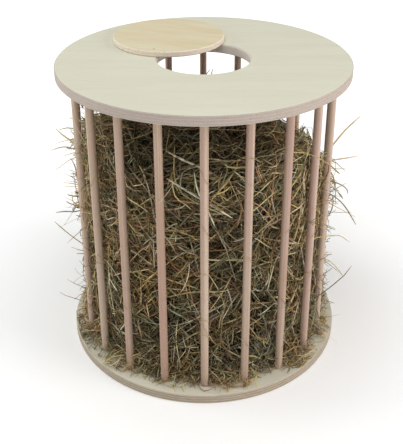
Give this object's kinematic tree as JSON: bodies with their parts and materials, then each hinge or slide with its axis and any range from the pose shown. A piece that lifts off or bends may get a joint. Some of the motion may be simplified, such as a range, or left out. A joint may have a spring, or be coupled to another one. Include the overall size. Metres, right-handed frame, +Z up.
{
  "type": "hay rack feeder",
  "caption": "Round hay rack: two plywood discs joined by a ring of upright beech dowels, with a fill hole in the top and a round swivelling lid.",
  "frame": {"origin": "centre of the base disc's lower face, on the surface that the rack stands on", "axes": "+Z up along the rack's axis; -Y is the front; the lid's pivot is on the left and slightly to the back, and the lid stands swung to the back left"},
  "size_m": [0.3, 0.3, 0.3241],
  "materials": {
    "base_plywood": "bare sanded birch plywood, pinkish grey edge with two darker glue lines",
    "top_plywood": "bare sanded birch plywood, pale cream face, pinkish grey edge with darker glue lines",
    "lid_plywood": "bare sanded plywood with a warm yellowish face and soft straight grain",
    "beech_dowel": "bare beech dowel, pinkish brown with fine long grain",
    "zinc_steel": "zinc plated steel"
  },
  "bodies": {
    "rack": {"base_disc": "base_plywood", "top_disc": "top_plywood", "dowel_01": "beech_dowel", "dowel_02": "beech_dowel", "dowel_03": "beech_dowel", "dowel_04": "beech_dowel", "dowel_05": "beech_dowel", "dowel_06": "beech_dowel", "dowel_07": "beech_dowel", "dowel_08": "beech_dowel", "dowel_09": "beech_dowel", "dowel_10": "beech_dowel", "dowel_11": "beech_dowel", "dowel_12": "beech_dowel", "dowel_13": "beech_dowel", "dowel_14": "beech_dowel", "dowel_15": "beech_dowel", "dowel_16": "beech_dowel", "dowel_17": "beech_dowel", "dowel_18": "beech_dowel", "dowel_19": "beech_dowel", "dowel_20": "beech_dowel"},
    "lid": {"lid": "lid_plywood", "lid_pivot_screw": "zinc_steel"}
  },
  "joints": [
    {"name": "lid_swivel", "type": "hinge", "parent": "rack", "child": "lid", "pos_m": [-0.05086, 0.01081, 0.3181], "axis": [0, 0, -1], "continuous": true}
  ]
}
